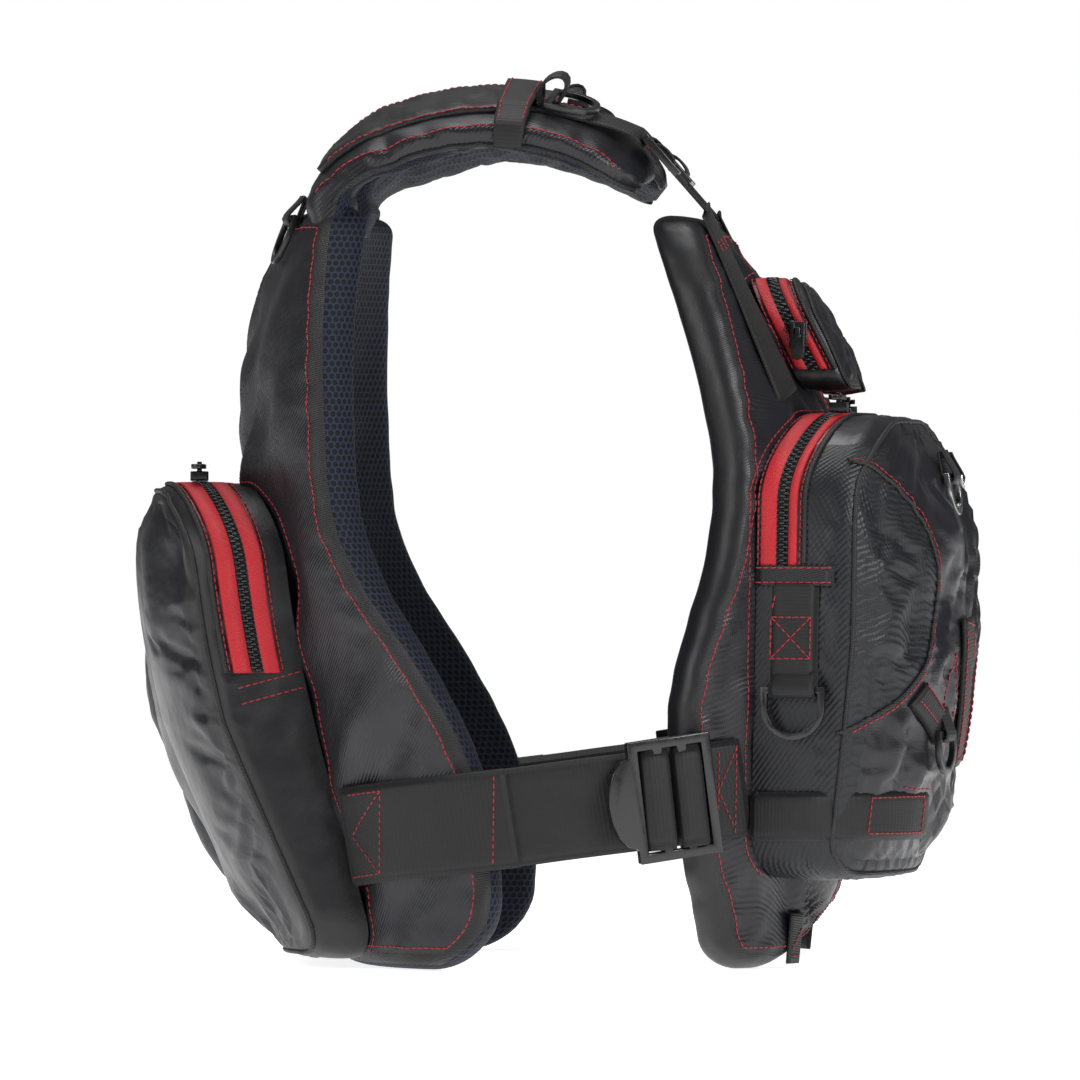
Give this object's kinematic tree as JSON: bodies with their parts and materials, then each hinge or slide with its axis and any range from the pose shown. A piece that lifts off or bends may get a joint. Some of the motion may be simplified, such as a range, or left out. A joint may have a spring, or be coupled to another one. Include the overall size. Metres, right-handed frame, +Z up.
{
  "type": "life jacket",
  "caption": "Front-zip fishing life jacket: black foam panels, padded shoulders, zipped pouches with red tapes, a webbing belt with strap adjusters, and hanging rings.",
  "frame": {"origin": "on the floor under the middle of the jacket's box, where its hem stands", "axes": "+Z up to the shoulders, -Y is where the wearer faces, -X is the wearer's right side"},
  "size_m": [0.39, 0.4308, 0.453],
  "materials": {
    "shell_fabric": "satin coated nylon",
    "pouch_fabric": "ripstop and twill nylon",
    "mesh_lining": "spacer mesh",
    "foam": "matte",
    "webbing": "woven matte",
    "zip_tape": "woven matte",
    "plastic": "moulded satin",
    "dark_metal": "darkened satin"
  },
  "bodies": {
    "back": {"back_shell": "shell_fabric", "back_foam": "foam", "back_lining": "mesh_lining", "back_pouch": "pouch_fabric", "back_zip_tape": "zip_tape", "shoulder_pad_right": "shell_fabric", "shoulder_cover_right": "shell_fabric", "shoulder_webbing_right": "webbing", "back_belt_right": "webbing", "shoulder_pad_left": "shell_fabric", "shoulder_cover_left": "shell_fabric", "shoulder_webbing_left": "webbing", "back_belt_left": "webbing"},
    "front_right": {"front_shell_right": "shell_fabric", "front_foam_right": "foam", "front_lining_right": "mesh_lining", "front_zip_tape_right": "webbing", "lower_pouch_right": "pouch_fabric", "lower_zip_tape_right": "zip_tape", "chest_pouch_right": "pouch_fabric", "chest_zip_tape_right": "zip_tape", "chest_webbing_right": "webbing", "front_belt_right": "webbing", "side_strap_right": "webbing", "pouch_strap_right": "webbing", "tool_strap_right": "webbing"},
    "front_left": {"front_shell_left": "shell_fabric", "front_foam_left": "foam", "front_lining_left": "mesh_lining", "front_zip_tape_left": "webbing", "lower_pouch_left": "pouch_fabric", "lower_zip_tape_left": "zip_tape", "chest_pouch_left": "pouch_fabric", "chest_zip_tape_left": "zip_tape", "chest_webbing_left": "webbing", "front_belt_left": "webbing", "side_strap_left": "webbing", "pouch_strap_left": "webbing", "tool_strap_left": "webbing"},
    "back_zip_slider": {"back_zip_slider": "plastic"},
    "back_zip_pull": {"back_zip_pull": "plastic"},
    "front_zip_slider": {"front_zip_slider": "plastic"},
    "shoulder_ring_right": {"shoulder_ring_right": "plastic"},
    "rear_ring_right": {"rear_ring_right": "plastic"},
    "side_ring_right": {"side_ring_right": "plastic"},
    "upper_ring_right": {"upper_ring_right": "dark_metal"},
    "lower_ring_right": {"lower_ring_right": "plastic"},
    "waist_adjuster_right": {"waist_adjuster_right": "plastic"},
    "shoulder_adjuster_right": {"shoulder_adjuster_right": "plastic"},
    "lower_zip_slider_right": {"lower_zip_slider_right": "plastic"},
    "chest_zip_slider_right": {"chest_zip_slider_right": "plastic"},
    "shoulder_ring_left": {"shoulder_ring_left": "plastic"},
    "rear_ring_left": {"rear_ring_left": "plastic"},
    "side_ring_left": {"side_ring_left": "plastic"},
    "upper_ring_left": {"upper_ring_left": "dark_metal"},
    "lower_ring_left": {"lower_ring_left": "plastic"},
    "waist_adjuster_left": {"waist_adjuster_left": "plastic"},
    "shoulder_adjuster_left": {"shoulder_adjuster_left": "plastic"},
    "lower_zip_slider_left": {"lower_zip_slider_left": "plastic"},
    "chest_zip_slider_left": {"chest_zip_slider_left": "plastic"}
  },
  "joints": [
    {"name": "front_right_opens", "type": "hinge", "parent": "back", "child": "front_right", "pos_m": [-0.193, -0.002, 0.08], "axis": [-0.245, 0.1193, -0.9622], "range_deg": [0, 45]},
    {"name": "front_left_opens", "type": "hinge", "parent": "back", "child": "front_left", "pos_m": [0.193, -0.002, 0.08], "axis": [-0.245, -0.1193, 0.9622], "range_deg": [0, 45]},
    {"name": "back_zip_runs", "type": "slide", "parent": "back", "child": "back_zip_slider", "axis": [0.9989, 0.0466, 0], "range_m": [0, 0.04]},
    {"name": "back_zip_pull_lifts", "type": "hinge", "parent": "back_zip_slider", "child": "back_zip_pull", "pos_m": [-0.06767, 0.18306, 0.2558], "axis": [-0.0466, 0.9989, 0], "range_deg": [0, 120]},
    {"name": "front_zip_runs", "type": "slide", "parent": "front_right", "child": "front_zip_slider", "axis": [0, 0.3499, 0.9368], "range_m": [-0.03, 0]},
    {"name": "shoulder_ring_right_swings", "type": "hinge", "parent": "back", "child": "shoulder_ring_right", "pos_m": [-0.08427, 0.00039, 0.44409], "axis": [-0.9536, 0.1184, -0.2768], "range_deg": [0, 140]},
    {"name": "rear_ring_right_swings", "type": "hinge", "parent": "back", "child": "rear_ring_right", "pos_m": [-0.07667, 0.13482, 0.383], "axis": [0.9667, 0.2559, 0], "range_deg": [0, 120]},
    {"name": "side_ring_right_swings", "type": "hinge", "parent": "front_right", "child": "side_ring_right", "pos_m": [-0.16423, -0.12545, 0.142], "axis": [0.2737, 0.9618, 0], "range_deg": [0, 110]},
    {"name": "upper_ring_right_swings", "type": "hinge", "parent": "front_right", "child": "upper_ring_right", "pos_m": [-0.07753, -0.20407, 0.25045], "axis": [-0.981, 0.194, 0], "range_deg": [0, 120]},
    {"name": "lower_ring_right_swings", "type": "hinge", "parent": "front_right", "child": "lower_ring_right", "pos_m": [-0.10236, -0.20167, 0.11885], "axis": [-0.9456, 0.3253, 0], "range_deg": [0, 120]},
    {"name": "waist_adjuster_right_tilts", "type": "hinge", "parent": "front_right", "child": "waist_adjuster_right", "pos_m": [-0.1756, -0.08753, 0.09113], "axis": [-0.1013, 0.1159, 0.9881], "range_deg": [0, 50]},
    {"name": "shoulder_adjuster_right_tilts", "type": "hinge", "parent": "front_right", "child": "shoulder_adjuster_right", "pos_m": [-0.08602, -0.06591, 0.4064], "axis": [0.9995, 0.0214, 0.0246], "range_deg": [0, 50]},
    {"name": "lower_zip_right_runs", "type": "slide", "parent": "front_right", "child": "lower_zip_slider_right", "axis": [0.9976, -0.0687, 0], "range_m": [0, 0.028]},
    {"name": "chest_zip_right_runs", "type": "slide", "parent": "front_right", "child": "chest_zip_slider_right", "axis": [0.1898, -0.0091, 0.9818], "range_m": [-0.01, 0]},
    {"name": "shoulder_ring_left_swings", "type": "hinge", "parent": "back", "child": "shoulder_ring_left", "pos_m": [0.08427, 0.00039, 0.44409], "axis": [-0.9536, -0.1184, 0.2768], "range_deg": [0, 140]},
    {"name": "rear_ring_left_swings", "type": "hinge", "parent": "back", "child": "rear_ring_left", "pos_m": [0.07667, 0.13482, 0.383], "axis": [0.9667, -0.2559, 0], "range_deg": [0, 120]},
    {"name": "side_ring_left_swings", "type": "hinge", "parent": "front_left", "child": "side_ring_left", "pos_m": [0.16423, -0.12545, 0.142], "axis": [0.2737, -0.9618, 0], "range_deg": [0, 110]},
    {"name": "upper_ring_left_swings", "type": "hinge", "parent": "front_left", "child": "upper_ring_left", "pos_m": [0.07753, -0.20407, 0.25045], "axis": [-0.981, -0.194, 0], "range_deg": [0, 120]},
    {"name": "lower_ring_left_swings", "type": "hinge", "parent": "front_left", "child": "lower_ring_left", "pos_m": [0.10236, -0.20167, 0.11885], "axis": [-0.9456, -0.3253, 0], "range_deg": [0, 120]},
    {"name": "waist_adjuster_left_tilts", "type": "hinge", "parent": "front_left", "child": "waist_adjuster_left", "pos_m": [0.1756, -0.08753, 0.09113], "axis": [-0.1013, -0.1159, -0.9881], "range_deg": [0, 50]},
    {"name": "shoulder_adjuster_left_tilts", "type": "hinge", "parent": "front_left", "child": "shoulder_adjuster_left", "pos_m": [0.08602, -0.06591, 0.4064], "axis": [0.9995, -0.0214, -0.0246], "range_deg": [0, 50]},
    {"name": "lower_zip_left_runs", "type": "slide", "parent": "front_left", "child": "lower_zip_slider_left", "axis": [-0.9976, -0.0687, 0], "range_m": [0, 0.028]},
    {"name": "chest_zip_left_runs", "type": "slide", "parent": "front_left", "child": "chest_zip_slider_left", "axis": [-0.1898, -0.0091, 0.9818], "range_m": [-0.01, 0]}
  ]
}
